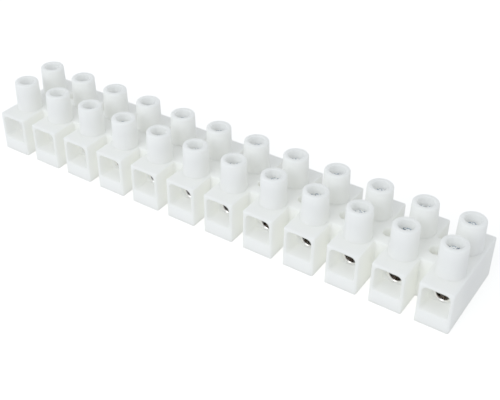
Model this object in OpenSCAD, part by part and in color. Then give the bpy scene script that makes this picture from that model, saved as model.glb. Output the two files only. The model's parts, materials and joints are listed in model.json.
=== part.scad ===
/* [Strip] */
// Number of poles along the strip
poles = 12; // [2:1:12]
// Distance from one pole to the next
pitch = 10; // [9.5:0.25:13]
// Width of one pole block
block_w = 7.25; // [6.9:0.05:7.8]
// Depth of the strip from wire face to wire face
strip_d = 21.4; // [18.4:0.1:26]
// Height of the pole blocks
block_h = 9.8; // [9.6:0.1:12]
// Rounding of the upright and upper edges of the blocks
edge_r = 0.4; // [0.1:0.05:0.45]

/* [Web] */
// Depth of the web that joins the poles
web_d = 8; // [5:0.1:10]
// Diameter of the fixing holes through the web
fixing_hole_d = 2.7; // [2:0.1:3.4]

/* [Screw towers] */
// Distance between the front and rear screw axes of a pole
tower_spacing = 8.86; // [7.6:0.02:9.2]
// Height of a tower above its block
tower_h = 7; // [5.8:0.1:9]
// Outer diameter just below the rounded rim
tower_rim_d = 5.54; // [5:0.02:5.8]
// Outer diameter at the foot
tower_foot_d = 5.9; // [5.4:0.05:6.2]
// Rounding of the rim
rim_r = 0.4; // [0.1:0.05:0.6]
// Fillet where a tower meets its block
foot_fillet_r = 0.25; // [0.1:0.05:0.3]
// Depth below the top of the block where a tower's bore narrows
bore_step = 0.3; // [0.1:0.05:0.5]

/* [Wire mouths] */
// Width of a mouth
mouth_w = 5.8; // [5:0.05:6.2]
// Height of a mouth
mouth_h = 5.7; // [5:0.1:5.9]
// Height of a mouth's floor above the underside
mouth_floor = 3.4; // [2:0.1:3.6]
// Rounding of the upper corners of a mouth
mouth_top_r = 1.1; // [0.3:0.1:1.5]
// Rounding of the lower corners of a mouth
mouth_floor_r = 0.6; // [0.3:0.1:1.5]

/* [Contact barrels] */
// Outside diameter of a barrel
barrel_d = 4.5; // [4:0.05:4.8]
// Diameter of the wire bore
wire_bore_d = 3; // [2.4:0.05:3.3]
// Drop of the wire bore below the barrel's axis, which leaves a thick wall for the threads
wire_bore_drop = 0.3; // [0.1:0.05:0.4]
// Step from the floor of the mouth up to the barrel
barrel_lift = 0.15; // [0:0.05:0.4]
// Wall between a threaded hole and the end of its barrel
barrel_end = 0.52; // [0.3:0.02:1]
// Gap all round between a barrel and its seat
barrel_room = 0.05; // [0.02:0.01:0.1]
// Chamfer at the ends of a barrel
barrel_chamfer = 0.15; // [0.05:0.05:0.3]

/* [Clamp screws] */
// Outside diameter of the thread
thread_d = 3; // [2.5:0.1:3.1]
// Gap all round between a screw and its threaded hole
thread_room = 0.05; // [0.03:0.01:0.1]
// Gap all round between a screw and the narrow end of its tower's bore
shank_room = 0.1; // [0.05:0.05:0.2]
// Diameter of the head
head_d = 3.2; // [3.2:0.02:3.6]
// Gap all round between a head and the bore of its tower
head_room = 0.15; // [0.1:0.05:0.3]
// Height of the head
head_h = 1.7; // [1.2:0.1:2]
// Rounding of the head's upper edge
head_r = 0.3; // [0.1:0.05:0.5]
// Depth of the head below the rim of its tower
head_sink = 1.8; // [1.2:0.1:2.4]
// Width of the driver slot
slot_w = 0.6; // [0.4:0.05:0.9]
// Depth of the driver slot
slot_depth = 0.8; // [0.4:0.05:1.1]
// Gap between an open screw's tip and the wire bore
tip_room = 0.05; // [0.02:0.01:0.2]
// Chamfer at a screw's tip
tip_chamfer = 0.4; // [0.2:0.05:0.6]

/* [Hidden] */
$fn = 64;
// Overlap that lets one shape cut or join another cleanly
over = 1;
// Turn from one driver slot to the next, as screws come to rest by chance
slot_turn = 137.5;

rim_z = block_h + tower_h;
tapped_d = thread_d + 2 * thread_room;
barrel_l = tower_spacing + tapped_d + 2 * barrel_end;
mouth_depth = (strip_d - barrel_l) / 2;
barrel_z = mouth_floor + barrel_lift + barrel_d / 2;
wire_bore_z = barrel_z - wire_bore_drop;
shank_bore_d = thread_d + 2 * shank_room;
head_bore_d = head_d + 2 * head_room;
step_z = block_h - bore_step;
head_top_z = rim_z - head_sink;
tip_z = wire_bore_z + wire_bore_d / 2 + tip_room;
screw_l = head_top_z - tip_z;

FRONT = -1;
REAR = 1;

function two_digits(i) = str(i < 10 ? "0" : "", i);
function barrel_name(i) = str("barrel_", two_digits(i));
function screw_name(i, side) = str("screw_", side == FRONT ? "front_" : "rear_", two_digits(i));

function pole_x(i) = (i - (poles + 1) / 2) * pitch;
function screw_y(side) = side * tower_spacing / 2;

// Rectangle about the origin with four round corners
module rounded_rectangle(w, h, r) {
    square([w - 2 * r, h], center = true);
    square([w, h - 2 * r], center = true);
    for (x = [-1, 1], y = [-1, 1])
        translate([x * (w / 2 - r), y * (h / 2 - r)]) circle(r);
}

// Upright outline on the base line with round upper corners and optional round lower ones
module doorway(w, h, top_r, low_r = 0) {
    translate([-w / 2, low_r]) square([w, h - top_r - low_r]);
    translate([-w / 2 + top_r, h / 2]) square([w - 2 * top_r, h / 2]);
    for (x = [-1, 1]) translate([x * (w / 2 - top_r), h - top_r]) circle(top_r);
    if (low_r > 0) {
        translate([-w / 2 + low_r, 0]) square([w - 2 * low_r, h / 2]);
        for (x = [-1, 1]) translate([x * (w / 2 - low_r), low_r]) circle(low_r);
    }
}

// Outline in X and Z drawn out along Y, centred on the origin
module along_y(l) {
    rotate([90, 0, 0]) linear_extrude(l, center = true) children();
}

// Outline in Y and Z drawn out along X, centred on the origin
module along_x(l) {
    rotate([90, 0, 90]) linear_extrude(l, center = true) children();
}

// Block of one pole: its plan, front and side outlines all round off its edges
module block() {
    intersection() {
        linear_extrude(block_h + over) rounded_rectangle(block_w, strip_d, edge_r);
        along_y(strip_d + over) doorway(block_w, block_h, edge_r);
        along_x(block_w + over) doorway(strip_d, block_h, edge_r);
    }
}

// Half section of a tower, from inside its block to the rounded rim
module tower_section() {
    foot = tower_foot_d / 2;
    rim = tower_rim_d / 2;
    polygon([[0, -over], [foot, -over], [foot, 0], [rim, tower_h - rim_r], [0, tower_h - rim_r]]);
    square([rim - rim_r, tower_h]);
    translate([rim - rim_r, tower_h - rim_r]) circle(rim_r);
    difference() {
        translate([0, -foot_fillet_r]) square([foot + foot_fillet_r, 2 * foot_fillet_r]);
        translate([foot + foot_fillet_r, foot_fillet_r]) circle(foot_fillet_r);
    }
}

// Tower with the screw, still without its bore
module tower() {
    translate([0, 0, block_h]) rotate_extrude() tower_section();
}

// Bore of a tower: wide for the head, narrow from the step down to the barrel
module tower_bore() {
    translate([0, 0, step_z]) cylinder(d = head_bore_d, h = rim_z - step_z + over);
    translate([0, 0, barrel_z]) cylinder(d = shank_bore_d, h = rim_z - barrel_z);
}

// Pocket that leads a wire from the outer face to the barrel
module mouth(side) {
    pocket_l = mouth_depth + over;
    translate([0, side * (strip_d / 2 - mouth_depth + pocket_l / 2), mouth_floor])
        along_y(pocket_l) doorway(mouth_w, mouth_h, mouth_top_r, mouth_floor_r);
}

// Round seat of a barrel
module barrel_seat() {
    translate([0, 0, barrel_z]) rotate([90, 0, 0])
        cylinder(d = barrel_d + 2 * barrel_room, h = barrel_l + over, center = true);
}

// One moulding: pole blocks and screw towers on a common web
module housing() {
    color("whitesmoke") difference() {
        union() {
            along_x((poles - 1) * pitch) doorway(web_d, block_h, edge_r);
            for (i = [1 : poles]) translate([pole_x(i), 0, 0]) {
                block();
                for (side = [FRONT, REAR]) translate([0, screw_y(side), 0]) tower();
            }
        }
        for (i = [1 : poles]) translate([pole_x(i), 0, 0]) {
            barrel_seat();
            for (side = [FRONT, REAR]) {
                mouth(side);
                translate([0, screw_y(side), 0]) tower_bore();
            }
        }
        for (i = [1 : poles - 1])
            translate([(pole_x(i) + pole_x(i + 1)) / 2, 0, -over])
                cylinder(d = fixing_hole_d, h = block_h + 2 * over);
    }
}

// Turned rod of a barrel with a chamfer at each end
module barrel_rod() {
    end_r = barrel_d / 2 - barrel_chamfer;
    half_l = barrel_l / 2;
    rotate([90, 0, 0]) rotate_extrude()
        polygon([[0, -half_l], [end_r, -half_l], [barrel_d / 2, -half_l + barrel_chamfer],
            [barrel_d / 2, half_l - barrel_chamfer], [end_r, half_l], [0, half_l]]);
}

// Contact barrel: wire bore below the axis and a threaded hole under each tower
module barrel(i) {
    color("silver") translate([pole_x(i), 0, 0]) difference() {
        translate([0, 0, barrel_z]) barrel_rod();
        translate([0, 0, wire_bore_z]) rotate([90, 0, 0])
            cylinder(d = wire_bore_d, h = barrel_l + 2 * over, center = true);
        for (side = [FRONT, REAR]) translate([0, screw_y(side), wire_bore_z])
            cylinder(d = tapped_d, h = barrel_d);
    }
}

// Half section of a screw, with its tip at the base line
module screw_section() {
    neck_z = screw_l - head_h;
    polygon([[0, 0], [thread_d / 2 - tip_chamfer, 0], [thread_d / 2, tip_chamfer],
        [thread_d / 2, neck_z], [head_d / 2, neck_z], [head_d / 2, screw_l - head_r],
        [0, screw_l - head_r]]);
    square([head_d / 2 - head_r, screw_l]);
    translate([head_d / 2 - head_r, screw_l - head_r]) circle(head_r);
}

// Clamp screw in its open position, with the wire bore left clear
module screw(i, side) {
    turn = slot_turn * (2 * i + (side == FRONT ? 0 : 1));
    color("lightgrey") translate([pole_x(i), screw_y(side), tip_z]) difference() {
        rotate_extrude() screw_section();
        translate([0, 0, screw_l]) rotate([0, 0, turn])
            cube([head_d + over, slot_w, 2 * slot_depth], center = true);
    }
}

housing();
for (i = [1 : poles]) {
    barrel(i);
    screw(i, FRONT);
    screw(i, REAR);
}
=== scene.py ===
"""Terminal strip: a moulded housing with contact barrels and clamp screws, dressed for rendering.

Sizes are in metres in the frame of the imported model: +X runs along the row of poles, -Y towards the
front wire mouths and +Z up along the screws.
"""

import functools
import json
import math
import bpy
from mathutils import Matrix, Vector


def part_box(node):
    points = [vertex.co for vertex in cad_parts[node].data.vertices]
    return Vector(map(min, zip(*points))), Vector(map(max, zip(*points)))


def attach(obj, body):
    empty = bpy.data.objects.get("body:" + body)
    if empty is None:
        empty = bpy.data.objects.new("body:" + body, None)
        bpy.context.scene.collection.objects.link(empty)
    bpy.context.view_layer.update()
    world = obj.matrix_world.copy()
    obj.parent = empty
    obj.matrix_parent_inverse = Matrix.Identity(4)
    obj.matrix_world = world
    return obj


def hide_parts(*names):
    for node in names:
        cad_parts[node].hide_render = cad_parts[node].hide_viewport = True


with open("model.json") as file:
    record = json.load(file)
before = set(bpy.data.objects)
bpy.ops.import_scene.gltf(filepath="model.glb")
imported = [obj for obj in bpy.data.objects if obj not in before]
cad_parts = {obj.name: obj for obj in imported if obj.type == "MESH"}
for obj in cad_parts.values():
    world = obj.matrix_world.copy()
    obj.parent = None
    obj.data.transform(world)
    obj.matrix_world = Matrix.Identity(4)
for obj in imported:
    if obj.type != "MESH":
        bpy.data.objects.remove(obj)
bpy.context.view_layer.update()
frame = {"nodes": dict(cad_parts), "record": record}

from types import SimpleNamespace

import bmesh
import bpy
from bpy.props import FloatProperty, FloatVectorProperty, IntProperty, PointerProperty
from mathutils import Matrix, Vector

bl_info = {
    "name": "Terminal strip",
    "version": (1, 0, 0),
    "blender": (4, 5, 0),
    "location": "View3D > Sidebar > Strip",
    "description": "Builds a terminal strip on its packed model, with its materials and a plain stage",
    "category": "Add Mesh",
}

BARRELS = sorted(n for n in frame["nodes"] if n.startswith("barrel_"))
SCREWS = sorted(n for n in frame["nodes"] if n.startswith("screw_"))
BODY_OF = {n: body for body, nodes in frame["record"]["behaviour"]["bodies"].items() for n in nodes}
MOUNTS = {m["name"]: m for m in frame["record"]["mounts"]}
# Millimetres in a metre
MM = 1000


def extent(node):
    """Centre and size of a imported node."""
    low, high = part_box(node)
    return (low + high) / 2, high - low


POLES = len(BARRELS)
PITCH = (extent(BARRELS[-1])[0].x - extent(BARRELS[0])[0].x) / (POLES - 1)
STRIP = extent("housing")[1]
BLOCK_WIDTH = STRIP.x - (POLES - 1) * PITCH
BLOCK_HEIGHT = MOUNTS["fixing_pair_100"]["pos_m"][2]
FIXING_RADIUS = MOUNTS["fixing_pair_100"]["dims"]["hole_r_mm"] / MM
BARREL_HEIGHT = extent(BARRELS[0])[0].z
BARREL_RADIUS = extent(BARRELS[0])[1].z / 2
BARREL_LENGTH = extent(BARRELS[0])[1].y
TOWER_SPACING = extent("screw_rear_01")[0].y - extent("screw_front_01")[0].y
SCREW_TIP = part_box("screw_front_01")[0].z
SCREW_LENGTH = extent("screw_front_01")[1].z
HEAD_RADIUS = extent("screw_front_01")[1].x / 2

# Sides of a tower, a barrel, a screw, the closed part of a barrel's seat and half a fixing hole
TOWER_SIDES = 64
BARREL_SIDES = 64
SCREW_SIDES = 40
SEAT_SIDES = 40
FIXING_SIDES = 24
# Steps in a quarter circle of an edge, a small edge, a lip, a tower's rim and a mouth's corner
EDGE_STEPS = 5
SMALL_STEPS = 3
LIP_STEPS = 4
RIM_STEPS = 7
CORNER_STEPS = 8
# Band left flat beside each rounding, in millimetres, so that smooth shading keeps the flats flat
FLAT = 0.03
# Angle between two faces from which their edge is sharp
SHARP = math.radians(35)
# Rings of a screw blank in one turn of the thread, and turns in which the thread runs in and out
TURN_RINGS = 6
RUN_TURNS = 2
# Ends of the thread's flank, in shares of the pitch from the middle of the crest
CREST_END = 0.06
ROOT_START = 0.44
# Share of painted shade, with some grime, that darkens a screw's head in patches outside its slot, deep in
# its bore; it is 1 in the slot, a recess where shade falls
HEAD_SHADE_AND_GRIME = 0.48
# Most that a point of the wire bore's wall lies off its radius, as a factor
BORE_SLACK = 1.005
# Distance, in metres, below which points of neighbouring poles are merged
MERGE = 0.000001
# Drop of the floor, in metres, so that it shares no plane with the underside
FLOOR_DROP = 0.00002

# What the settings for lengths and for colours have in common
LENGTH = {"min": 0.0, "unit": "LENGTH", "precision": 6}
COLOUR = {"min": 0.0, "max": 1.0, "size": 3, "subtype": "COLOR"}


class HousingSettings(bpy.types.PropertyGroup):
    """Sizes and finish of the moulded housing."""

    edge_round: FloatProperty(
        name="Upper edges", description="Rounding of the upper edges of the blocks and the web",
        default=0.0003, **LENGTH)
    corner_round: FloatProperty(
        name="Upright edges", description="Rounding of the upright edges of the blocks",
        default=0.00038, **LENGTH)
    foot_round: FloatProperty(
        name="Lower edges", description="Rounding of the edges round the underside",
        default=0.00012, **LENGTH)
    web_depth: FloatProperty(
        name="Web depth", description="Depth of the web that joins the poles",
        default=0.008, **LENGTH)
    web_fillet: FloatProperty(
        name="Web fillet", description="Fillet where the web meets a block",
        default=0.0003, **LENGTH)
    fixing_lip: FloatProperty(
        name="Fixing hole edge", description="Rounding at both ends of a fixing hole",
        default=0.0002, **LENGTH)
    tower_foot: FloatProperty(
        name="Tower foot radius", description="Outer radius of a tower at its foot",
        default=0.00295, **LENGTH)
    tower_rim: FloatProperty(
        name="Tower rim radius", description="Outer radius of a tower just below its rim",
        default=0.00277, **LENGTH)
    rim_round: FloatProperty(
        name="Rim rounding", description="Rounding of a tower's outer rim",
        default=0.0004, **LENGTH)
    foot_fillet: FloatProperty(
        name="Foot fillet", description="Fillet where a tower meets its block",
        default=0.00022, **LENGTH)
    head_bore: FloatProperty(
        name="Head bore radius", description="Radius of the bore that takes a screw head",
        default=0.00175, **LENGTH)
    bore_lip: FloatProperty(
        name="Bore edge", description="Rounding of the upper edge of that bore",
        default=0.00018, **LENGTH)
    bore_step: FloatProperty(
        name="Bore step", description="Depth below the block's top at which the bore narrows",
        default=0.0003, **LENGTH)
    shank_bore: FloatProperty(
        name="Shank bore radius", description="Radius of the narrow end of a tower's bore",
        default=0.0016, **LENGTH)
    mouth_width: FloatProperty(
        name="Mouth width", description="Width of a wire mouth",
        default=0.0058, **LENGTH)
    mouth_height: FloatProperty(
        name="Mouth height", description="Height of a wire mouth",
        default=0.0057, **LENGTH)
    mouth_floor: FloatProperty(
        name="Mouth floor", description="Height of a mouth's floor above the underside",
        default=0.0034, **LENGTH)
    mouth_top_round: FloatProperty(
        name="Mouth upper corners", description="Rounding of the upper corners of a mouth",
        default=0.0011, **LENGTH)
    mouth_floor_round: FloatProperty(
        name="Mouth lower corners", description="Rounding of the lower corners of a mouth",
        default=0.0006, **LENGTH)
    mouth_lip: FloatProperty(
        name="Mouth edge", description="Rounding of the edge round a mouth",
        default=0.00025, **LENGTH)
    seat_gap: FloatProperty(
        name="Seat gap", description="Gap all round between a barrel and its seat",
        default=0.00005, **LENGTH)
    tint: FloatVectorProperty(
        name="Plastic tint", description="Colour of the plastic where it is densest",
        default=(0.965, 0.966, 0.9), **COLOUR)
    cloud_tint: FloatVectorProperty(
        name="Cloud tint", description="Colour of the faint clouds in the plastic",
        default=(0.953, 0.954, 0.888), **COLOUR)
    scatter: FloatProperty(
        name="Light depth", description="How far light wanders inside the milky plastic",
        default=0.0032, **LENGTH)


class BarrelSettings(bpy.types.PropertyGroup):
    """Sizes and finish of the contact barrels."""

    wire_bore: FloatProperty(
        name="Wire bore radius", description="Radius of the wire bore",
        default=0.0015, **LENGTH)
    bore_drop: FloatProperty(
        name="Bore drop", description="Drop of the wire bore below the barrel's axis",
        default=0.0003, **LENGTH)
    tapped_hole: FloatProperty(
        name="Screw hole radius", description="Radius of the holes that take the screws",
        default=0.00155, **LENGTH)
    chamfer: FloatProperty(
        name="Chamfer", description="Chamfer at the outer edge of a barrel's ends",
        default=0.00015, **LENGTH)
    bore_chamfer: FloatProperty(
        name="Bore chamfer", description="Chamfer at the ends of the wire bore",
        default=0.00012, **LENGTH)
    tint: FloatVectorProperty(
        name="Plating tint", description="Colour of the nickel plating",
        default=(0.9, 0.89, 0.87), **COLOUR)
    worn_tint: FloatVectorProperty(
        name="Thin plating tint", description="Colour where the brass shows through the plating",
        default=(0.84, 0.8, 0.74), **COLOUR)
    # Painted shade: the wire bore of a barrel is darkened where shade falls deep inside it, together with
    # duller bare metal there
    bore_tint: FloatVectorProperty(
        name="Bore tint", description="Colour inside the wire bore, where the metal is dull",
        default=(0.42, 0.37, 0.33), **COLOUR)


class ScrewSettings(bpy.types.PropertyGroup):
    """Sizes and finish of the clamp screws."""

    thread_radius: FloatProperty(
        name="Thread radius", description="Outside radius of the thread",
        default=0.0015, **LENGTH)
    thread_pitch: FloatProperty(
        name="Thread pitch", description="Rise of the thread in one turn",
        default=0.0005, **{**LENGTH, "min": 0.0001})
    thread_depth: FloatProperty(
        name="Thread depth", description="Depth of the thread below its crest",
        default=0.00027, **LENGTH)
    tip_chamfer: FloatProperty(
        name="Tip chamfer", description="Chamfer at a screw's tip",
        default=0.0004, **LENGTH)
    head_height: FloatProperty(
        name="Head height", description="Height of the head",
        default=0.0017, **LENGTH)
    head_round: FloatProperty(
        name="Head rounding", description="Rounding of the head's upper edge",
        default=0.0003, **LENGTH)
    slot_width: FloatProperty(
        name="Slot width", description="Width of the driver slot",
        default=0.0006, **LENGTH)
    slot_depth: FloatProperty(
        name="Slot depth", description="Depth of the driver slot",
        default=0.0008, **LENGTH)
    slot_lip: FloatProperty(
        name="Slot edge", description="Bevel along the upper edges of the slot",
        default=0.00006, **LENGTH)
    slot_turn: FloatProperty(
        name="Slot turn", description="Turn from one slot to the next, as screws come to rest by chance",
        default=math.radians(137.5), subtype="ANGLE")
    tint: FloatVectorProperty(
        name="Zinc tint", description="Colour of the zinc plating",
        default=(0.95, 0.95, 0.94), **COLOUR)
    dull_tint: FloatVectorProperty(
        name="Dull zinc tint", description="Colour of the duller patches of the plating",
        default=(0.91, 0.91, 0.9), **COLOUR)
    # Painted shade, with some grime: a dark blue tint for the slots and for patches on the heads, which sit
    # deep in their bores
    grime_tint: FloatVectorProperty(
        name="Grime tint", description="Colour of the grime in the slots and in patches on the heads",
        default=(0.14, 0.22, 0.31), **COLOUR)


class StageSettings(bpy.types.PropertyGroup):
    """Camera, floor and light."""

    lens: FloatProperty(
        name="Lens", description="Focal length on a sensor 36 mm wide",
        default=65.362, min=1.0, unit="CAMERA")
    azimuth: FloatProperty(
        name="Azimuth", description="Direction of the camera, turned from the front towards +X",
        default=math.radians(32.895), subtype="ANGLE")
    elevation: FloatProperty(
        name="Elevation", description="Angle of the view above the floor",
        default=math.radians(36.367), subtype="ANGLE")
    roll: FloatProperty(
        name="Roll", description="Turn of the camera about its own view",
        default=math.radians(0.715), subtype="ANGLE")
    place: FloatVectorProperty(
        name="Camera", description="Place of the camera",
        default=(0.094341, -0.136075, 0.123263), size=3, subtype="TRANSLATION", unit="LENGTH")
    floor_size: FloatProperty(
        name="Floor", description="Side of the floor",
        default=3.0, min=0.1, unit="LENGTH")
    floor_tint: FloatVectorProperty(
        name="Floor tint", description="Colour of the floor",
        default=(0.7, 0.7, 0.7), **COLOUR)
    floor_glow: FloatVectorProperty(
        name="Floor glow", description="Light of the floor in the picture, so that the ground is white",
        default=(0.6, 0.6, 0.6), **COLOUR)
    floor_share: FloatProperty(
        name="Floor light", description="Share of the floor's glow that falls on the strip",
        default=0.17, min=0.0, max=1.0, subtype="FACTOR")
    dome_tint: FloatVectorProperty(
        name="Dome tint", description="Colour of the even light from all round",
        default=(0.905, 0.967, 1.0), **COLOUR)
    dome_strength: FloatProperty(
        name="Dome strength", description="Strength of the even light from all round",
        default=0.53, min=0.0)
    key_turn: FloatProperty(
        name="Key direction", description="Direction of the key light, turned from the front towards -X",
        default=math.radians(10.0), subtype="ANGLE")
    key_rise: FloatProperty(
        name="Key elevation", description="Angle of the key light above the floor",
        default=math.radians(36.0), subtype="ANGLE")
    key_distance: FloatProperty(
        name="Key distance", description="Distance of the key light from the strip",
        default=0.9, min=0.1, unit="LENGTH")
    key_size: FloatProperty(
        name="Key size", description="Side of the square key light",
        default=0.45, min=0.01, unit="LENGTH")
    key_power: FloatProperty(
        name="Key power", description="Power of the key light",
        default=2.95, min=0.0, unit="POWER")
    key_tint: FloatVectorProperty(
        name="Key tint", description="Colour of the key light",
        default=(0.905, 0.967, 1.0), **COLOUR)
    bounces: IntProperty(
        name="Bounces", description="How often light goes from wall to wall of the pale plastic",
        default=12, min=0)
    tone: FloatProperty(
        name="Tone", description="Gamma of the picture, which lifts its middle tones",
        default=1.8, min=0.1)


class StripSettings(bpy.types.PropertyGroup):
    """All settings of the terminal strip."""

    housing: PointerProperty(name="Housing", description="Moulded housing", type=HousingSettings)
    barrels: PointerProperty(name="Barrels", description="Contact barrels", type=BarrelSettings)
    screws: PointerProperty(name="Screws", description="Clamp screws", type=ScrewSettings)
    stage: PointerProperty(name="Stage", description="Camera, floor and light", type=StageSettings)


# Mesh helpers. Meshes are drawn in millimetres, because filling a flat merges points that are closer
# than 0.00003 units, and they are scaled to metres when they are done.

def in_millimetres(settings):
    """The lengths of a settings group, in millimetres."""
    return SimpleNamespace(**{
        p.identifier: MM * getattr(settings, p.identifier)
        for p in settings.bl_rna.properties
        if p.type == "FLOAT" and p.unit == "LENGTH" and not p.is_array})


def quarter(steps=EDGE_STEPS):
    """Sine and cosine from 0 to 90 degrees."""
    angles = [math.pi / 2 * k / steps for k in range(steps + 1)]
    return [(math.sin(a), math.cos(a)) for a in angles]


def circle(x, y, radius, sides, start=0.0, turn=2 * math.pi):
    """Points of a circle, or of an arc with both its ends."""
    steps = sides if turn == 2 * math.pi else sides + 1
    angles = [start + turn * k / sides for k in range(steps)]
    return [(x + radius * math.cos(a), y + radius * math.sin(a)) for a in angles]


def skin(bm, rings, closed=True):
    """Quads between neighbouring rings of vertices."""
    for low, high in zip(rings, rings[1:]):
        for k in range(len(low) if closed else len(low) - 1):
            j = (k + 1) % len(low)
            bm.faces.new((low[k], low[j], high[j], high[k]))


def fill(bm, normal, *loops):
    """Flat face inside the first loop of vertices and outside the others."""
    edges = [bm.edges.get(pair) or bm.edges.new(pair)
             for loop in loops for pair in zip(loop, loop[1:] + loop[:1])]
    if not bmesh.ops.triangle_fill(bm, use_beauty=True, edges=edges, normal=normal)["geom"]:
        raise ValueError("The edges of a flat face cross each other")


def lathe(bm, profile, sides, x=0.0, y=0.0):
    """Rings about an upright axis, one for each radius and height of the profile, skinned together."""
    rings = [[bm.verts.new((px, py, z)) for px, py in circle(x, y, r, sides)] for r, z in profile]
    skin(bm, rings)
    return rings


def cap(bm, rings):
    """Faces that close the first and the last ring."""
    bm.faces.new(rings[0])
    bm.faces.new(rings[-1])


def source_object(bm, name):
    """A mesh drawn in millimetres as an object in metres, smooth with its true corners sharp."""
    bmesh.ops.recalc_face_normals(bm, faces=bm.faces)
    for face in bm.faces:
        face.smooth = True
    for edge in bm.edges:
        edge.smooth = len(edge.link_faces) != 2 or edge.calc_face_angle() < SHARP
    bm.transform(Matrix.Scale(1 / MM, 4))
    mesh = bpy.data.meshes.new(name)
    bm.to_mesh(mesh)
    bm.free()
    made = bpy.data.objects.new(name, mesh)
    bpy.context.scene.collection.objects.link(made)
    return made


def remove(*sources):
    """Deletes source objects, with their meshes, once they are used."""
    for source in sources:
        bpy.data.meshes.remove(source.data)


def rounded_path(corners):
    """Points and inward normals along a path in plan that turns left round a solid.

    Each corner is x, y and the radius of its rounding; the first and the last are plain ends.
    """
    points = [Vector(c[:2]) for c in corners]
    along = [(b - a).normalized() for a, b in zip(points, points[1:])]
    inward = [Vector((-d.y, d.x)) for d in along]
    path = [(points[0], inward[0])]
    for k in range(1, len(points) - 1):
        radius = corners[k][2]
        side = 1 if along[k - 1].cross(along[k]) > 0 else -1
        centre = points[k] + (along[k] - along[k - 1]) * radius
        path.append((points[k] - along[k - 1] * (radius + FLAT), inward[k - 1]))
        for sine, cosine in quarter():
            normal = inward[k - 1] * cosine + inward[k] * sine
            path.append((centre - side * radius * normal, normal))
        path.append((points[k] + along[k] * (radius + FLAT), inward[k]))
    path.append((points[-1], inward[-1]))
    return path


def doorway(s, grow):
    """Outline of a mouth in x and z, from its lower right corner round to the left, let out by grow."""
    half = s.mouth_width / 2 + grow
    low, high = s.mouth_floor - grow, s.mouth_floor + s.mouth_height + grow
    low_r, top_r = s.mouth_floor_round + grow, s.mouth_top_round + grow
    corners = ((half - low_r, low + low_r, low_r, 1.5), (half - top_r, high - top_r, top_r, 0.0),
               (top_r - half, high - top_r, top_r, 0.5), (low_r - half, low + low_r, low_r, 1.0))
    return [point for x, z, r, start in corners
            for point in circle(x, z, r, CORNER_STEPS, start * math.pi, math.pi / 2)]


# One pole of the housing

def outer_wall(bm, s, corners, height):
    """Wall round a pole; gives its lowest and highest ring and the panels left open for the mouths."""
    rows = [(s.foot_round + FLAT, 0.0)]
    rows += [(s.foot_round * (1 - si), s.foot_round * (1 - co)) for si, co in quarter(SMALL_STEPS)]
    rows += [(0.0, s.foot_round + FLAT), (0.0, height - s.edge_round - FLAT)]
    panel_row = len(rows) - 2
    rows += [(s.edge_round * (1 - co), height - s.edge_round * (1 - si)) for si, co in quarter()]
    rows += [(s.edge_round + FLAT, height)]
    path = rounded_path(corners)
    rings = [[bm.verts.new((*(point + normal * inset), z)) for point, normal in path] for inset, z in rows]
    face_y = max(abs(corner[1]) for corner in corners)
    panels = []
    for row, (low, high) in enumerate(zip(rings, rings[1:])):
        for k in range(len(path) - 1):
            quad = [low[k], low[k + 1], high[k + 1], high[k]]
            on_face = all(abs(abs(v.co.y) - face_y) < FLAT / 10 for v in quad[:2])
            if row == panel_row and on_face and (quad[1].co - quad[0].co).length > 1:
                panels.append(quad)
            else:
                bm.faces.new(quad)
    return rings[0], rings[-1], panels


def fixing_hole(bm, s, side, height):
    """Half of a fixing hole on the side where the next pole goes on; gives its lowest and highest ring."""
    radius, lip = MM * FIXING_RADIUS, s.fixing_lip
    rows = [(radius + lip + FLAT, 0.0)]
    rows += [(radius + lip * (1 - si), lip * (1 - co)) for si, co in quarter(SMALL_STEPS)]
    rows += [(radius, lip + FLAT), (radius, height - lip - FLAT)]
    rows += [(radius + lip * (1 - co), height - lip * (1 - si)) for si, co in quarter(SMALL_STEPS)]
    rows += [(radius + lip + FLAT, height)]
    start = -side * math.pi / 2
    joint = side * MM / 2 * PITCH
    rings = [[bm.verts.new((x, y, z)) for x, y in circle(joint, 0, r, FIXING_SIDES, start, -math.pi)]
             for r, z in rows]
    for ring in rings:
        ring[0].co.x = ring[-1].co.x = joint
    skin(bm, rings, closed=False)
    return rings[0], rings[-1]


def tower(bm, s, y, height, seat_radius):
    """Tower over a screw, with its bore down to the barrel's seat; gives its foot and its lowest ring."""
    top = MM * STRIP.z
    rows = [(s.tower_foot + s.foot_fillet + FLAT / 2, height)]
    rows += [(s.tower_foot + s.foot_fillet * (1 - si), height + s.foot_fillet * (1 - co))
             for si, co in quarter()]
    rows += [(s.tower_rim - s.rim_round * (1 - co), top - s.rim_round * (1 - si))
             for si, co in quarter(RIM_STEPS)]
    rows += [(s.tower_rim - s.rim_round - FLAT, top), (s.head_bore + s.bore_lip + FLAT, top)]
    rows += [(s.head_bore + s.bore_lip * (1 - si), top - s.bore_lip * (1 - co))
             for si, co in quarter(LIP_STEPS)]
    rows += [(s.head_bore, top - s.bore_lip - FLAT)]
    rows += [(s.head_bore, height - s.bore_step), (s.shank_bore, height - s.bore_step)]
    rings = lathe(bm, rows, TOWER_SIDES, 0.0, y)
    lowest = [bm.verts.new((px, py, MM * BARREL_HEIGHT + math.sqrt(seat_radius ** 2 - px ** 2)))
              for px, py in circle(0.0, y, s.shank_bore, TOWER_SIDES)]
    skin(bm, [rings[-1], lowest])
    return rings[0], lowest


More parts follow.
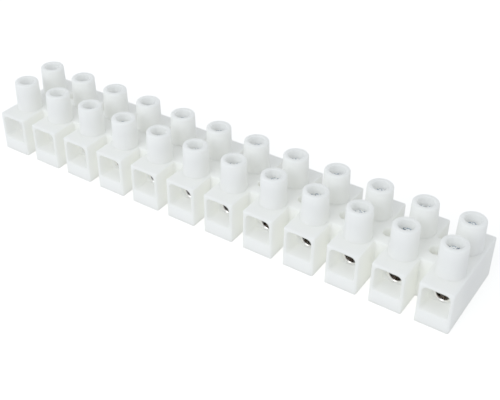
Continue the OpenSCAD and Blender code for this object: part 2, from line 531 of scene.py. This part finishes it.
def barrel_seat(bm, s, front_hole, rear_hole, radius):
    """Round seat of a barrel, open where the screws come in; gives the circles at its two ends."""
    half, last = MM / 2 * BARREL_LENGTH, TOWER_SIDES // 2
    ends = {-1: [], 1: []}
    tilt = math.asin(s.shank_bore / radius)
    spread = [math.asin(front_hole[j].co.x / radius) for j in range(last + 1)]
    spread += [-tilt - (2 * math.pi - 2 * tilt) * k / SEAT_SIDES for k in range(1, SEAT_SIDES)]
    for angle in spread:
        for end in ends:
            ends[end].append(bm.verts.new((
                radius * math.sin(angle), end * half, MM * BARREL_HEIGHT + radius * math.cos(angle))))
    front, rear = ends[-1], ends[1]
    for j in range(last):
        near, far = -j % TOWER_SIDES, TOWER_SIDES - j - 1
        bm.faces.new((front[j], front_hole[near], front_hole[far], front[j + 1]))
        bm.faces.new((front_hole[j], rear_hole[near], rear_hole[far], front_hole[j + 1]))
        bm.faces.new((rear_hole[j], rear[j], rear[j + 1], rear_hole[j + 1]))
    for j in range(last, len(spread)):
        k = (j + 1) % len(spread)
        here = [front[j]] + ([front_hole[last], rear_hole[last]] if j == last else []) + [rear[j]]
        there = [rear[k]] + ([rear_hole[0], front_hole[0]] if k == 0 else []) + [front[k]]
        bm.faces.new(here + there)
    return front, rear


def mouth(bm, s, panel, seat):
    """Wire mouth from an open panel of the wall back to the end of the barrel's seat."""
    side = 1 if panel[0].co.y > 0 else -1
    face, lip = MM / 2 * STRIP.y, s.mouth_lip
    depth = face - MM / 2 * BARREL_LENGTH
    rows = [(lip + FLAT, 0.0)] + [(lip * (1 - si), lip * (1 - co)) for si, co in quarter(LIP_STEPS)]
    rows += [(0.0, lip + FLAT), (0.0, depth)]
    rings = [[bm.verts.new((x, side * (face - back), z)) for x, z in doorway(s, grow)]
             for grow, back in rows]
    skin(bm, rings)
    fill(bm, (0, side, 0), panel, rings[0])
    fill(bm, (0, side, 0), rings[-1], seat)


def pole_cell(settings, name, joined):
    """One pole, with half of the web on each joined side (-1 for left, 1 for right), open at its end."""
    s = in_millimetres(settings)
    bm = bmesh.new()
    height, seat_radius = MM * BLOCK_HEIGHT, MM * BARREL_RADIUS + s.seat_gap
    x, y, web, joint = MM / 2 * BLOCK_WIDTH, MM / 2 * STRIP.y, s.web_depth / 2, MM / 2 * PITCH
    front = [(-x, -y, s.corner_round), (x, -y, s.corner_round)]
    if -1 in joined:
        front = [(-joint, -web, 0.0), (-x, -web, s.web_fillet)] + front
    if 1 in joined:
        front = front + [(x, -web, s.web_fillet), (joint, -web, 0.0)]
    rear = [(-px, -py, r) for px, py, r in front] if len(joined) == 2 else [
        (px, -py, r) for px, py, r in reversed(front)]
    walls = [front, rear] if len(joined) == 2 else [front + rear] if -1 in joined else [rear + front]
    walls = [outer_wall(bm, s, corners, height) for corners in walls]
    holes = [fixing_hole(bm, s, side, height) for side in sorted(joined, reverse=True)]
    under = [v for wall, hole in zip(walls, holes) for v in wall[0] + hole[0]]
    upper = [v for wall, hole in zip(walls, holes) for v in wall[1] + hole[1]]
    towers = [tower(bm, s, end * MM / 2 * TOWER_SPACING, height, seat_radius) for end in (-1, 1)]
    seats = barrel_seat(bm, s, towers[0][1], towers[1][1], seat_radius)
    fill(bm, (0, 0, -1), under)
    fill(bm, (0, 0, 1), upper, towers[0][0], towers[1][0])
    for panel in (panel for wall in walls for panel in wall[2]):
        mouth(bm, s, panel, seats[0] if panel[0].co.y < 0 else seats[1])
    return source_object(bm, name)


# One barrel, and the blank and the slot of a screw

def turned_body(name, profile, place):
    """Body with this profile about an upright axis, closed at both ends and then set in its place."""
    bm = bmesh.new()
    cap(bm, lathe(bm, profile, BARREL_SIDES))
    bm.transform(place)
    return source_object(bm, name)


def barrel_source(settings):
    """One barrel at the middle of the strip, cut by its bore and screw holes."""
    s = in_millimetres(settings)
    radius, half, height = MM * BARREL_RADIUS, MM / 2 * BARREL_LENGTH, MM * BARREL_HEIGHT
    turn = Matrix.Translation((0, 0, height)) @ Matrix.Rotation(math.pi / 2, 4, "X")
    drop = Matrix.Translation((0, 0, -s.bore_drop))
    rod = turned_body("barrel", [
        (radius - s.chamfer, -half), (radius, s.chamfer - half),
        (radius, half - s.chamfer), (radius - s.chamfer, half)], turn)
    flare = s.wire_bore + 2 * s.bore_chamfer
    bore = turned_body("bore", [
        (flare, -half - s.bore_chamfer), (s.wire_bore, s.bore_chamfer - half),
        (s.wire_bore, half - s.bore_chamfer), (flare, half + s.bore_chamfer)], drop @ turn)
    hole = [(s.tapped_hole, height - s.bore_drop), (s.tapped_hole, height + 2 * radius)]
    holes = [turned_body("hole", hole, Matrix.Translation((0, end * MM / 2 * TOWER_SPACING, 0)))
             for end in (-1, 1)]
    for cutter in (bore, *holes):
        cut = rod.modifiers.new(cutter.name, "BOOLEAN")
        cut.operation, cut.solver, cut.object = "DIFFERENCE", "EXACT", cutter
    graph = bpy.context.evaluated_depsgraph_get()
    mesh = bpy.data.meshes.new_from_object(rod.evaluated_get(graph), depsgraph=graph)
    rod.modifiers.clear()
    plain_rod, rod.data = rod.data, mesh
    bpy.data.meshes.remove(plain_rod)
    mesh.polygons.foreach_set("use_smooth", [True] * len(mesh.polygons))
    mesh.set_sharp_from_angle(angle=SHARP)
    marks = mesh.attributes.new("turn_radius", "FLOAT", "POINT")
    marks.data.foreach_set("value", [math.hypot(v.co.x, v.co.z - BARREL_HEIGHT) for v in mesh.vertices])
    # Mask of painted shade, with duller metal, inside the wire bore
    wall, middle = settings.wire_bore * BORE_SLACK, BARREL_HEIGHT - settings.bore_drop
    shaded_bore = mesh.attributes.new("dullness", "FLOAT", "POINT")
    shaded_bore.data.foreach_set("value", [
        float(math.hypot(v.co.x, v.co.z - middle) < wall) for v in mesh.vertices])
    remove(bore, *holes)
    return rod


def screw_blank(settings):
    """Turned blank of a screw on the origin, marked where the thread goes."""
    s = in_millimetres(settings)
    top, head, crest = MM * SCREW_LENGTH, MM * HEAD_RADIUS, s.thread_radius
    neck = top - s.head_height
    steps = round(TURN_RINGS * (neck - s.tip_chamfer) / s.thread_pitch)
    rows = [(crest - s.tip_chamfer, 0.0)]
    rows += [(crest, s.tip_chamfer + (neck - s.tip_chamfer) * k / steps) for k in range(steps + 1)]
    rows += [(head, neck), (head, top - s.head_round - FLAT)]
    rows += [(head - s.head_round * (1 - co), top - s.head_round * (1 - si)) for si, co in quarter()]
    rows += [(head - s.head_round - FLAT, top)]
    bm = bmesh.new()
    cap(bm, lathe(bm, rows, SCREW_SIDES))
    blank = source_object(bm, "screw_blank")
    low, high = s.tip_chamfer / MM, neck / MM
    run = RUN_TURNS * settings.thread_pitch
    thread = blank.data.attributes.new("thread", "FLOAT", "POINT")
    thread.data.foreach_set("value", [
        max(0.0, min(1.0, (v.co.z - low) / run + 0.5, (high - v.co.z) / run))
        if v.co.z > 0 else 0.0 for v in blank.data.vertices])
    return blank


def slot_cutter(settings):
    """Cutter of a driver slot along x, flared at the top so that the slot gets bevelled edges."""
    s = in_millimetres(settings)
    top, half, reach = MM * SCREW_LENGTH, s.slot_width / 2, 1.2 * MM * HEAD_RADIUS
    outline = [(half, -s.slot_depth), (half, -s.slot_lip), (half + 2 * s.slot_lip, s.slot_lip)]
    outline += [(-y, z) for y, z in reversed(outline)]
    bm = bmesh.new()
    rings = [[bm.verts.new((x, y, top + z)) for y, z in outline] for x in (-reach, reach)]
    skin(bm, rings)
    cap(bm, rings)
    return source_object(bm, "slot_cutter")


# Node helpers

def add_node(tree, kind, inputs=None, **settings):
    """A node with its settings, and its inputs linked to a socket or set to a value."""
    node = tree.nodes.new(kind)
    node.location = (180 * len(tree.nodes), 0)
    for name, value in settings.items():
        setattr(node, name, value)
    for key, value in (inputs or {}).items():
        if isinstance(value, bpy.types.NodeSocket):
            tree.links.new(value, node.inputs[key])
        else:
            node.inputs[key].default_value = value
    return node


def maths(tree, operation, *values):
    """Result of a maths node."""
    return add_node(tree, "ShaderNodeMath", dict(enumerate(values)), operation=operation).outputs[0]


def ramp(tree, value, low, high, least=0.0, most=1.0):
    """A value between low and high as one between least and most, and held there."""
    return add_node(tree, "ShaderNodeMapRange", {
        "Value": value, "From Min": low, "From Max": high, "To Min": least, "To Max": most}).outputs[0]


def vector(tree, **axes):
    """Vector of values for some of its axes."""
    return add_node(tree, "ShaderNodeCombineXYZ", axes).outputs[0]


def object_place(tree):
    """Place in the object."""
    return add_node(tree, "ShaderNodeTexCoord").outputs["Object"]


def noise(tree, place, scale, detail):
    """Value of a noise texture."""
    return add_node(tree, "ShaderNodeTexNoise", {
        "Vector": place, "Scale": scale, "Detail": detail}).outputs[0]


def mix(tree, share, first, second):
    """Mix of two colours, with a share of the second."""
    return add_node(tree, "ShaderNodeMix", {
        "Factor": share, "A": first, "B": second}, data_type="RGBA").outputs["Result"]


def built_once(make):
    """A node tree with the name of the function that makes it: made on first use, found again later."""
    name = make.__name__.replace("_", " ").capitalize()

    @functools.wraps(make)
    def find():
        return bpy.data.node_groups.get(name) or make(name)
    return find


def new_tree(name, kind, inputs, outputs):
    """A node tree with named inputs and outputs; gives the tree and the sockets of its inputs."""
    tree = bpy.data.node_groups.new(name, kind)
    for side, sockets in (("INPUT", inputs), ("OUTPUT", outputs)):
        for label, socket in sockets.items():
            tree.interface.new_socket(label, in_out=side, socket_type="NodeSocket" + socket)
    return tree, tree.nodes.new("NodeGroupInput").outputs


def close_tree(tree, results):
    """Links the results to the outputs of a tree."""
    add_node(tree, "NodeGroupOutput", results)
    return tree


@built_once
def row_of_poles(name):
    """Node tree that sets poles in a row, with an own object at each end."""
    tree, given = new_tree(
        name, "GeometryNodeTree",
        {"Left end": "Object", "Middle": "Object", "Right end": "Object",
         "Poles": "Int", "Pitch": "Float", "Material": "Material"},
        {"Geometry": "Geometry"})
    end = maths(tree, "MULTIPLY", maths(tree, "SUBTRACT", given["Poles"], 1.0), given["Pitch"])
    end = maths(tree, "MULTIPLY", end, 0.5)
    first = maths(tree, "SUBTRACT", given["Pitch"], end)
    joined = add_node(tree, "GeometryNodeJoinGeometry")
    line = add_node(tree, "GeometryNodeMeshLine", {
        "Count": maths(tree, "SUBTRACT", given["Poles"], 2.0),
        "Start Location": vector(tree, X=first), "Offset": vector(tree, X=given["Pitch"])})
    middle = add_node(tree, "GeometryNodeObjectInfo", {"Object": given["Middle"], "As Instance": True})
    middle = add_node(tree, "GeometryNodeInstanceOnPoints", {
        "Points": line.outputs["Mesh"], "Instance": middle.outputs["Geometry"]})
    tree.links.new(middle.outputs["Instances"], joined.inputs[0])
    for label, sign in (("Left end", -1.0), ("Right end", 1.0)):
        info = add_node(tree, "GeometryNodeObjectInfo", {"Object": given[label]})
        moved = add_node(tree, "GeometryNodeTransform", {
            "Geometry": info.outputs["Geometry"],
            "Translation": vector(tree, X=maths(tree, "MULTIPLY", end, sign))})
        tree.links.new(moved.outputs[0], joined.inputs[0])
    real = add_node(tree, "GeometryNodeRealizeInstances", {"Geometry": joined.outputs[0]})
    merged = add_node(tree, "GeometryNodeMergeByDistance", {
        "Geometry": real.outputs[0], "Distance": MERGE})
    painted = add_node(tree, "GeometryNodeSetMaterial", {
        "Geometry": merged.outputs[0], "Material": given["Material"]})
    return close_tree(tree, {"Geometry": painted.outputs[0]})


@built_once
def slotted_screw(name):
    """Node tree that threads a turned blank, cuts its slot, and turns and places the screw."""
    tree, given = new_tree(
        name, "GeometryNodeTree",
        {"Geometry": "Geometry", "Slot": "Object", "Thread pitch": "Float",
         "Thread depth": "Float", "Neck": "Float", "Face": "Float",
         "Slot width": "Float", "Turn": "Float", "Place": "Vector",
         "Material": "Material"},
        {"Geometry": "Geometry"})
    position = add_node(tree, "GeometryNodeInputPosition").outputs[0]
    axes = add_node(tree, "ShaderNodeSeparateXYZ", {0: position}).outputs
    turns = maths(tree, "DIVIDE", maths(tree, "ARCTAN2", axes["Y"], axes["X"]), 2 * math.pi)
    rise = maths(tree, "SUBTRACT", maths(tree, "DIVIDE", axes["Z"], given["Thread pitch"]), turns)
    wave = maths(tree, "ABSOLUTE", maths(tree, "SUBTRACT", maths(tree, "FRACT", rise), 0.5))
    wave = ramp(tree, wave, low=CREST_END, high=ROOT_START)
    masked = add_node(tree, "GeometryNodeInputNamedAttribute", {"Name": "thread"}, data_type="FLOAT")
    depth = maths(tree, "MULTIPLY", maths(tree, "MULTIPLY", wave, masked.outputs["Attribute"]),
                  given["Thread depth"])
    flat = vector(tree, X=axes["X"], Y=axes["Y"])
    outward = add_node(tree, "ShaderNodeVectorMath", {0: flat}, operation="NORMALIZE").outputs[0]
    inward = add_node(tree, "ShaderNodeVectorMath", {
        0: outward, "Scale": maths(tree, "MULTIPLY", depth, -1.0)}, operation="SCALE").outputs[0]
    thread = add_node(tree, "GeometryNodeSetPosition", {"Geometry": given["Geometry"], "Offset": inward})
    slot = add_node(tree, "GeometryNodeObjectInfo", {"Object": given["Slot"]})
    cut = add_node(
        tree, "GeometryNodeMeshBoolean", {"Mesh 1": thread.outputs[0], "Mesh 2": slot.outputs["Geometry"]},
        operation="DIFFERENCE", solver="EXACT")
    sharp = add_node(tree, "FunctionNodeCompare", {
        0: add_node(tree, "GeometryNodeInputMeshEdgeAngle").outputs["Unsigned Angle"], 1: SHARP},
        data_type="FLOAT", operation="GREATER_THAN")
    shaded = add_node(tree, "GeometryNodeSetShadeSmooth", {"Geometry": cut.outputs[0]}, domain="FACE")
    shaded = add_node(tree, "GeometryNodeSetShadeSmooth", {
        "Geometry": shaded.outputs[0], "Selection": sharp.outputs[0], "Shade Smooth": False}, domain="EDGE")
    radius = add_node(tree, "ShaderNodeVectorMath", {0: flat}, operation="LENGTH").outputs["Value"]
    marked = add_node(
        tree, "GeometryNodeStoreNamedAttribute",
        {"Geometry": shaded.outputs[0], "Name": "turn_radius", "Value": radius},
        data_type="FLOAT", domain="POINT")
    # The middle of a face tells the slot's walls from the side of the head
    in_slot = maths(tree, "MULTIPLY", maths(tree, "LESS_THAN", axes["Z"], given["Face"]),
                    maths(tree, "LESS_THAN", radius, given["Slot width"]))
    # Painted shade, with some grime: full in the slot, and a share of it in patches on the head's face
    shade_and_grime = maths(tree, "MULTIPLY_ADD", in_slot, 1 - HEAD_SHADE_AND_GRIME, HEAD_SHADE_AND_GRIME)
    dulled = add_node(tree, "GeometryNodeStoreNamedAttribute", {
        "Geometry": marked.outputs[0], "Name": "dullness",
        "Value": maths(tree, "MULTIPLY", shade_and_grime, maths(tree, "GREATER_THAN", axes["Z"], given["Neck"]))},
        data_type="FLOAT", domain="FACE")
    turned = add_node(tree, "GeometryNodeTransform", {
        "Geometry": dulled.outputs[0], "Translation": given["Place"],
        "Rotation": vector(tree, Z=given["Turn"])})
    real = add_node(tree, "GeometryNodeRealizeInstances", {"Geometry": turned.outputs[0]})
    painted = add_node(tree, "GeometryNodeSetMaterial", {
        "Geometry": real.outputs[0], "Material": given["Material"]})
    return close_tree(tree, {"Geometry": painted.outputs[0]})


def grown_mesh(source, tree, values, name):
    """Plain mesh of what a node tree makes of an object with these values for its named inputs."""
    modifier = source.modifiers.new(tree.name, "NODES")
    modifier.node_group = tree
    for item in tree.interface.items_tree:
        if item.in_out == "INPUT" and item.name in values:
            modifier[item.identifier] = values[item.name]
    graph = bpy.context.evaluated_depsgraph_get()
    mesh = bpy.data.meshes.new_from_object(
        source.evaluated_get(graph), preserve_all_data_layers=True, depsgraph=graph)
    mesh.name = name
    while None in mesh.materials[:]:
        mesh.materials.pop(index=mesh.materials[:].index(None))
    source.modifiers.remove(modifier)
    return mesh


def finished_piece(mesh, name, body, nodes):
    """Object of a finished mesh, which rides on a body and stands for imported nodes."""
    piece = bpy.data.objects.new(name, mesh)
    bpy.context.scene.collection.objects.link(piece)
    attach(piece, body)
    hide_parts(*nodes)


# Shared shader groups

@built_once
def cloudy_tint(name):
    """Group that mixes two tints in soft clouds."""
    tree, given = new_tree(
        name, "ShaderNodeTree",
        {"Tint": "Color", "Cloud tint": "Color", "Scale": "Float"},
        {"Colour": "Color"})
    clouds = noise(tree, object_place(tree), given["Scale"], detail=3.0)
    share = ramp(tree, clouds, low=0.35, high=0.65)
    return close_tree(tree, {"Colour": mix(tree, share, given["Tint"], given["Cloud tint"])})


@built_once
def fine_grain(name):
    """Group with the fine grain of a surface: its height, and a roughness that wanders with it."""
    tree, given = new_tree(
        name, "ShaderNodeTree",
        {"Scale": "Float", "Least roughness": "Float", "Most roughness": "Float"},
        {"Roughness": "Float", "Height": "Float"})
    place = object_place(tree)
    fine = noise(tree, place, given["Scale"], detail=2.0)
    broad = noise(tree, place, maths(tree, "MULTIPLY", given["Scale"], 0.2), detail=3.0)
    rough = ramp(tree, broad, low=0.3, high=0.7,
                 least=given["Least roughness"], most=given["Most roughness"])
    return close_tree(tree, {"Roughness": rough, "Height": fine})


@built_once
def lathe_marks(name):
    """Group with the fine rings that a lathe leaves, on the sides and the ends of a turned piece."""
    tree, given = new_tree(
        name, "ShaderNodeTree",
        {"Along": "Float", "Scale": "Float"}, {"Height": "Float"})
    radius = add_node(tree, "ShaderNodeAttribute", attribute_name="turn_radius").outputs["Fac"]
    rings = noise(tree, vector(tree, X=radius, Y=given["Along"]), given["Scale"], detail=2.0)
    return close_tree(tree, {"Height": rings})


@built_once
def dull_metal(name):
    """Group that gives a metal another tint in patches, which cover as much of it as its painted shade and
    dullness say: the other tint is painted shade mixed with duller metal.
    """
    tree, given = new_tree(
        name, "ShaderNodeTree",
        {"Bright": "Color", "Dull": "Color", "Patch scale": "Float"},
        {"Colour": "Color"})
    share = add_node(tree, "ShaderNodeAttribute", attribute_name="dullness").outputs["Fac"]
    patches = noise(tree, object_place(tree), given["Patch scale"], detail=2.0)
    cover = ramp(tree, maths(tree, "SUBTRACT", share, patches), low=-0.05, high=0.05)
    return close_tree(tree, {"Colour": mix(tree, cover, given["Bright"], given["Dull"])})


# Materials

def new_material(name):
    """Empty node material; gives it and its tree."""
    material = bpy.data.materials.new(name)
    material.use_nodes = True
    material.node_tree.nodes.clear()
    return material, material.node_tree


def rgba(colour):
    """Colour of a setting with full opacity."""
    return (*colour, 1.0)


def plastic_material(settings):
    """Milky moulded plastic: faint clouds, a satin skin with fine grain, and light that wanders inside."""
    material, tree = new_material("Milky plastic")
    tint = add_node(tree, "ShaderNodeGroup", {
        "Tint": rgba(settings.tint), "Cloud tint": rgba(settings.cloud_tint), "Scale": 130.0},
        node_tree=cloudy_tint())
    grain = add_node(tree, "ShaderNodeGroup", {
        "Scale": 3200.0, "Least roughness": 0.36, "Most roughness": 0.5}, node_tree=fine_grain())
    bump = add_node(tree, "ShaderNodeBump", {
        "Strength": 0.35, "Distance": 0.00004, "Height": grain.outputs["Height"]})
    shader = add_node(tree, "ShaderNodeBsdfPrincipled", {
        "Base Color": tint.outputs["Colour"], "Roughness": grain.outputs["Roughness"], "IOR": 1.5,
        "Subsurface Weight": 1.0, "Subsurface Radius": (1.0, 1.0, 1.0), "Subsurface Anisotropy": 0.85,
        "Subsurface Scale": settings.scatter, "Normal": bump.outputs["Normal"]})
    add_node(tree, "ShaderNodeOutputMaterial", {"Surface": shader.outputs[0]})
    return material


def turned_metal(name, tint, cloud_tint, dull_tint, axis, roughness):
    """Plated metal with lathe marks: the axis is the one that the piece was turned about."""
    material, tree = new_material(name)
    colour = add_node(tree, "ShaderNodeGroup", {
        "Tint": rgba(tint), "Cloud tint": rgba(cloud_tint), "Scale": 900.0}, node_tree=cloudy_tint())
    # Painted shade with duller metal: the dull tint darkens a barrel's wire bore and a screw's slot and
    # head
    colour = add_node(tree, "ShaderNodeGroup", {
        "Bright": colour.outputs["Colour"], "Dull": rgba(dull_tint), "Patch scale": 2000.0},
        node_tree=dull_metal())
    grain = add_node(tree, "ShaderNodeGroup", {
        "Scale": 9000.0, "Least roughness": roughness[0], "Most roughness": roughness[1]},
        node_tree=fine_grain())
    along = add_node(tree, "ShaderNodeSeparateXYZ", {0: object_place(tree)}).outputs[axis]
    marks = add_node(tree, "ShaderNodeGroup", {"Along": along, "Scale": 12000.0}, node_tree=lathe_marks())
    height = maths(tree, "MULTIPLY_ADD", grain.outputs["Height"], 0.4, marks.outputs["Height"])
    bump = add_node(tree, "ShaderNodeBump", {"Strength": 0.3, "Distance": 0.00002, "Height": height})
    shader = add_node(tree, "ShaderNodeBsdfPrincipled", {
        "Base Color": colour.outputs["Colour"], "Metallic": 1.0, "Roughness": grain.outputs["Roughness"],
        "Normal": bump.outputs["Normal"]})
    add_node(tree, "ShaderNodeOutputMaterial", {"Surface": shader.outputs[0]})
    return material


def paper_material(settings):
    """Pale paper of the floor, which glows in the picture and lights the strip with a share of that."""
    material, tree = new_material("Pale paper")
    seen = add_node(tree, "ShaderNodeLightPath").outputs["Is Camera Ray"]
    glow = maths(tree, "MAXIMUM", seen, settings.floor_share)
    shader = add_node(tree, "ShaderNodeBsdfPrincipled", {
        "Base Color": rgba(settings.floor_tint), "Roughness": 0.9, "Specular IOR Level": 0.0,
        "Emission Color": rgba(settings.floor_glow), "Emission Strength": glow})
    add_node(tree, "ShaderNodeOutputMaterial", {"Surface": shader.outputs[0]})
    return material


# Steps

class STRIP_OT_mould_housing(bpy.types.Operator):
    """Build the moulded housing: a row of pole blocks with their towers and mouths on one web"""

    bl_idname = "terminal_strip.mould_housing"
    bl_label = "Mould housing"

    def execute(self, context):
        settings = context.scene.terminal_strip.housing
        left = pole_cell(settings, "left_end", {1})
        middle = pole_cell(settings, "middle_pole", {-1, 1})
        right = pole_cell(settings, "right_end", {-1})
        row = source_object(bmesh.new(), "row")
        mesh = grown_mesh(row, row_of_poles(), {
            "Left end": left, "Middle": middle, "Right end": right, "Poles": POLES, "Pitch": PITCH,
            "Material": plastic_material(settings)}, "moulded_housing")
        remove(row, left, middle, right)
        finished_piece(mesh, "moulded_housing", BODY_OF["housing"], ["housing"])
        return {"FINISHED"}


class STRIP_OT_turn_barrels(bpy.types.Operator):
    """Build the contact barrels: turned rods with a wire bore and two screw holes, one in each pole"""

    bl_idname = "terminal_strip.turn_barrels"
    bl_label = "Turn barrels"

    def execute(self, context):
        settings = context.scene.terminal_strip.barrels
        barrel = barrel_source(settings)
        material = turned_metal(
            "Nickel plated brass", settings.tint, settings.worn_tint, settings.bore_tint,
            axis="Y", roughness=(0.18, 0.3))
        row = source_object(bmesh.new(), "row")
        mesh = grown_mesh(row, row_of_poles(), {
            "Left end": barrel, "Middle": barrel, "Right end": barrel, "Poles": POLES, "Pitch": PITCH,
            "Material": material}, "contact_barrels")
        remove(row, barrel)
        finished_piece(mesh, "contact_barrels", BODY_OF[BARRELS[0]], BARRELS)
        return {"FINISHED"}


class STRIP_OT_cut_screws(bpy.types.Operator):
    """Build the clamp screws: threaded, slotted and each turned as it came to rest"""

    bl_idname = "terminal_strip.cut_screws"
    bl_label = "Cut screws"

    def execute(self, context):
        settings = context.scene.terminal_strip.screws
        blank, slot, tree = screw_blank(settings), slot_cutter(settings), slotted_screw()
        material = turned_metal(
            "Zinc plated steel", settings.tint, settings.dull_tint, settings.grime_tint,
            axis="Z", roughness=(0.2, 0.36))
        for node in SCREWS:
            middle = extent(node)[0]
            order = 2 * int(node[-2:]) + (0 if middle.y < 0 else 1)
            mesh = grown_mesh(blank, tree, {
                "Slot": slot, "Thread pitch": settings.thread_pitch, "Thread depth": settings.thread_depth,
                "Neck": SCREW_LENGTH - settings.head_height, "Face": SCREW_LENGTH - settings.head_round,
                "Slot width": settings.slot_width, "Turn": settings.slot_turn * order,
                "Place": (middle.x, middle.y, SCREW_TIP), "Material": material}, "slotted_" + node)
            finished_piece(mesh, "slotted_" + node, BODY_OF[node], [node])
        remove(blank, slot)
        return {"FINISHED"}


# Stage

def add_camera(scene, settings):
    """Camera of the picture."""
    lens = bpy.data.cameras.new("camera")
    lens.lens, lens.sensor_width, lens.sensor_fit = settings.lens, 36.0, "HORIZONTAL"
    lens.clip_start, lens.clip_end = 0.01, 10.0
    camera = bpy.data.objects.new("camera", lens)
    aim = (Matrix.Rotation(settings.azimuth, 4, "Z")
           @ Matrix.Rotation(math.pi / 2 - settings.elevation, 4, "X")
           @ Matrix.Rotation(settings.roll, 4, "Z"))
    camera.matrix_world = Matrix.Translation(settings.place) @ aim
    scene.collection.objects.link(camera)
    scene.camera = camera


def add_floor(scene, settings):
    """Sheet of pale paper under the strip."""
    bm = bmesh.new()
    bmesh.ops.create_grid(bm, x_segments=2, y_segments=2, size=settings.floor_size / 2)
    bm.transform(Matrix.Translation((0, 0, -FLOOR_DROP)))
    sheet = bpy.data.meshes.new("floor")
    bm.to_mesh(sheet)
    bm.free()
    sheet.materials.append(paper_material(settings))
    floor = bpy.data.objects.new("floor", sheet)
    scene.collection.objects.link(floor)


def add_key(scene, settings):
    """Square key light, aimed at the strip."""
    light = bpy.data.lights.new("key", "AREA")
    light.shape, light.size, light.energy = "SQUARE", settings.key_size, settings.key_power
    light.color = settings.key_tint
    key = bpy.data.objects.new("key", light)
    aim = (Matrix.Rotation(-settings.key_turn, 4, "Z")
           @ Matrix.Rotation(math.pi / 2 - settings.key_rise, 4, "X"))
    key.matrix_world = aim @ Matrix.Translation((0, 0, settings.key_distance))
    scene.collection.objects.link(key)


def add_dome(scene, settings):
    """Even light from all round, which the camera sees as a pale backdrop."""
    world = bpy.data.worlds.new("dome")
    world.use_nodes = True
    tree = world.node_tree
    tree.nodes.clear()
    seen = add_node(tree, "ShaderNodeLightPath").outputs["Is Camera Ray"]
    dome = add_node(tree, "ShaderNodeBackground", {
        "Color": rgba(settings.dome_tint),
        "Strength": maths(tree, "MAXIMUM", seen, settings.dome_strength)})
    add_node(tree, "ShaderNodeOutputWorld", {"Surface": dome.outputs[0]})
    scene.world = world


class STRIP_OT_set_stage(bpy.types.Operator):
    """Set up the camera, a plain pale floor and soft studio light"""

    bl_idname = "terminal_strip.set_stage"
    bl_label = "Set stage"

    def execute(self, context):
        scene = context.scene
        settings = scene.terminal_strip.stage
        for add in (add_camera, add_floor, add_key, add_dome):
            add(scene, settings)
        scene.cycles.diffuse_bounces = settings.bounces
        scene.view_settings.view_transform = "Standard"
        scene.view_settings.gamma = settings.tone
        return {"FINISHED"}


# Panel and start

class STRIP_PT_sidebar(bpy.types.Panel):
    """Sidebar panel with the steps and the settings of the terminal strip"""

    bl_idname = "STRIP_PT_sidebar"
    bl_label = "Terminal strip"
    bl_space_type = "VIEW_3D"
    bl_region_type = "UI"
    bl_category = "Strip"

    def draw(self, context):
        strip = context.scene.terminal_strip
        for operator, settings in zip(OPERATORS, (strip.housing, strip.barrels, strip.screws, strip.stage)):
            box = self.layout.box()
            box.operator(operator.bl_idname)
            for name in settings.__annotations__:
                box.prop(settings, name)


OPERATORS = (STRIP_OT_mould_housing, STRIP_OT_turn_barrels, STRIP_OT_cut_screws, STRIP_OT_set_stage)
CLASSES = (HousingSettings, BarrelSettings, ScrewSettings, StageSettings, StripSettings,
           *OPERATORS, STRIP_PT_sidebar)


def register():
    """Adds the settings, the steps and the panel to Blender."""
    for cls in CLASSES:
        bpy.utils.register_class(cls)
    bpy.types.Scene.terminal_strip = PointerProperty(type=StripSettings)


def unregister():
    """Takes them away again."""
    del bpy.types.Scene.terminal_strip
    for cls in reversed(CLASSES):
        bpy.utils.unregister_class(cls)


def main():
    """Builds the strip step by step."""
    register()
    bpy.ops.terminal_strip.mould_housing()
    bpy.ops.terminal_strip.turn_barrels()
    bpy.ops.terminal_strip.cut_screws()
    bpy.ops.terminal_strip.set_stage()


if __name__ == "__main__":
    main()
